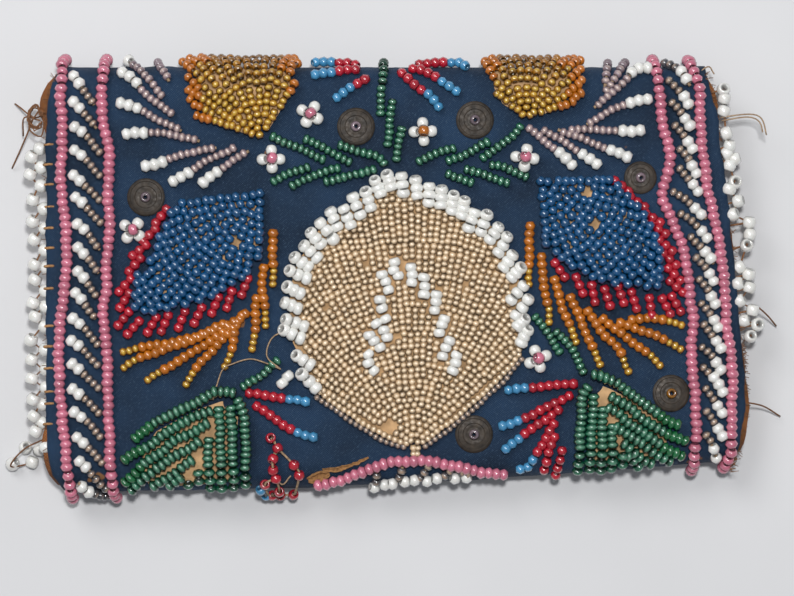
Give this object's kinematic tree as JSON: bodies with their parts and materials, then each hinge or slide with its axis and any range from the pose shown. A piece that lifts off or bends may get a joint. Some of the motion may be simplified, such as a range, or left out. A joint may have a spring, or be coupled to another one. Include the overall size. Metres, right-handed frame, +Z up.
{
  "type": "beaded medicine bag",
  "caption": "Folded cloth wallet bag with raised glass beadwork of leaves and a medallion on its flap, paper patterns under the beads and a beaded edging.",
  "frame": {"origin": "on the resting plane, on the flat back of the bag near its middle", "axes": "+X along the bag, +Y from the bottom fold to the top fold, +Z up out of the beaded flap"},
  "size_m": [0.1597, 0.0977, 0.0161],
  "materials": {
    "navy_cotton": "polished cotton, worn",
    "brown_lining": "matte",
    "tan_paper": "matte paper",
    "tan_thread": "matte",
    "pink_glass": "gloss",
    "white_glass": "gloss",
    "clear_glass": "gloss",
    "lavender_glass": "gloss",
    "beige_glass": "gloss",
    "amber_glass": "gloss",
    "orange_glass": "gloss",
    "blue_glass": "gloss",
    "sky_glass": "gloss",
    "red_glass": "gloss",
    "green_glass": "gloss",
    "tarnished_brass": "tarnished"
  },
  "bodies": {
    "root": {"outer_cover": "navy_cotton", "lining": "brown_lining", "pink_line_outer_left": "pink_glass", "pink_line_inner_left": "pink_glass", "pink_line_inner_right": "pink_glass", "pink_line_outer_right": "pink_glass", "rung_beads_left": "clear_glass", "rung_beads_right": "clear_glass", "edge_beads_left": "white_glass", "edge_beads_right": "white_glass", "medallion_paper": "tan_paper", "medallion_field": "beige_glass", "medallion_rim": "white_glass", "medallion_peak": "white_glass", "amber_paper_left": "tan_paper", "amber_leaf_left": "amber_glass", "blue_paper_left": "tan_paper", "blue_leaf_left": "blue_glass", "red_tips_left": "red_glass", "green_paper_left": "tan_paper", "green_leaf_left": "green_glass", "lavender_spray_left": "lavender_glass", "red_spray_top_left": "red_glass", "red_spray_bottom_left": "red_glass", "green_fern_left": "green_glass", "green_stem_left": "green_glass", "orange_frond_left": "orange_glass", "amber_paper_right": "tan_paper", "amber_leaf_right": "amber_glass", "blue_paper_right": "tan_paper", "blue_leaf_right": "blue_glass", "red_tips_right": "red_glass", "green_paper_right": "tan_paper", "green_leaf_right": "green_glass", "lavender_spray_right": "lavender_glass", "red_spray_top_right": "red_glass", "red_spray_bottom_right": "red_glass", "green_fern_right": "green_glass", "green_stem_right": "green_glass", "orange_frond_right": "orange_glass", "green_stem_top": "green_glass", "arch_line": "pink_glass", "arch_rungs": "clear_glass", "broken_string": "red_glass", "loose_pair": "white_glass", "flower_1": "white_glass", "flower_2": "white_glass", "flower_3": "white_glass", "flower_4": "white_glass", "flower_5": "white_glass", "flower_6": "white_glass", "spangle_1": "tarnished_brass", "spangle_2": "tarnished_brass", "spangle_3": "tarnished_brass", "spangle_4": "tarnished_brass", "spangle_5": "tarnished_brass", "spangle_6": "tarnished_brass"}
  },
  "joints": []
}
